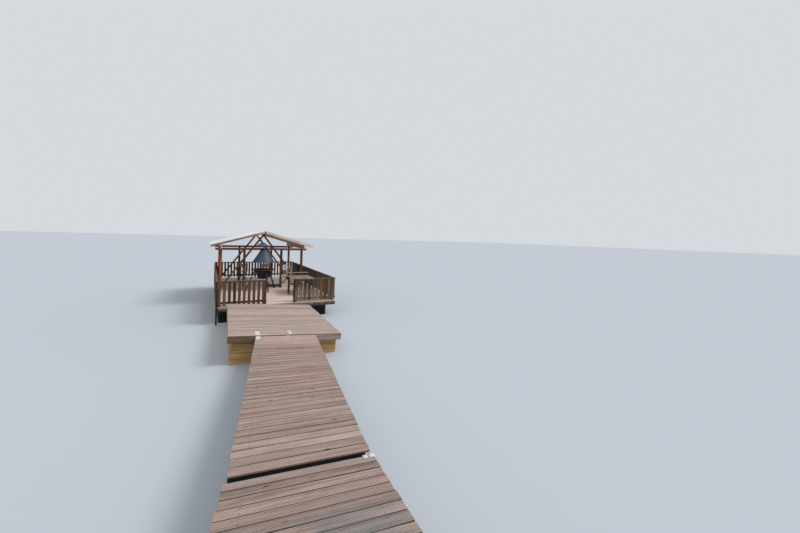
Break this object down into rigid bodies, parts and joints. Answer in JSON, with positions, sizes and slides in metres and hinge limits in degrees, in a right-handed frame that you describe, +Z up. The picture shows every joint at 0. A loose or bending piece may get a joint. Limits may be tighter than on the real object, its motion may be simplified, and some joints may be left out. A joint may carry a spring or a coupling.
{
  "type": "floating jetty with barbecue shelter",
  "caption": "Lakeside jetty with a plank gangway, a low pontoon and a fenced floating platform carrying an open gabled shelter and a hooded fireplace.",
  "frame": {"origin": "centre of the underside of the pontoon's middle float, at the level the floats rest on", "axes": "+Y runs out over the water along pontoon and platform, +X to the right seen from the bank, +Z up"},
  "size_m": [4.6766, 20.9021, 3.33],
  "materials": {
    "weathered_decking": "weathered grooved softwood",
    "platform_boards": "worn tan softwood",
    "frame_timber": "weathered sawn softwood",
    "skirt_timber": "yellow-brown sawn boards",
    "rail_timber": "dark weathered boards",
    "post_timber": "red-brown stained timber",
    "roof_sheet": "white coated sheet",
    "float_plastic": "black moulded plastic",
    "pale_plate": "pale coated steel",
    "black_steel": "heat-resistant black",
    "hood_steel": "dark slate-blue coated steel",
    "cap_steel": "purple-grey coated steel",
    "table_timber": "weathered boards",
    "red_timber": "dark red-brown boards",
    "pale_box": "pale satin plastic",
    "white_ring": "white satin plastic"
  },
  "bodies": {
    "root": {"near_walkway_deck": "weathered_decking", "near_walkway_bearers": "frame_timber", "far_walkway_deck": "weathered_decking", "far_walkway_bearers": "frame_timber", "trestle_caps": "frame_timber", "trestle_piles": "frame_timber", "joint_plates": "pale_plate", "pontoon_ledger": "frame_timber", "pontoon_deck": "weathered_decking", "platform_deck": "platform_boards", "fascia_ends": "frame_timber", "fascia_sides": "frame_timber", "deck_joists": "frame_timber", "skirt_ends": "skirt_timber", "skirt_sides": "skirt_timber", "pontoon_floats": "float_plastic", "platform_floats": "float_plastic", "module_links": "black_steel", "corner_pole": "black_steel", "front_rail_left": "rail_timber", "front_rail_right": "rail_timber", "left_rail": "rail_timber", "right_rail": "rail_timber", "back_rail": "rail_timber", "rail_posts": "rail_timber", "shelter_posts": "post_timber", "cross_beams": "post_timber", "side_plates": "post_timber", "ridge_beam": "post_timber", "braces_left": "post_timber", "braces_right": "post_timber", "rafters": "post_timber", "roof_left": "roof_sheet", "roof_right": "roof_sheet", "fire_bowl": "black_steel", "fire_shelf": "red_timber", "fire_stand": "black_steel", "hood": "hood_steel", "hood_supports": "black_steel", "hood_cap": "cap_steel", "right_table": "table_timber", "deck_seats": "black_steel", "storage_box": "pale_box", "hung_ring": "white_ring"}
  },
  "joints": []
}
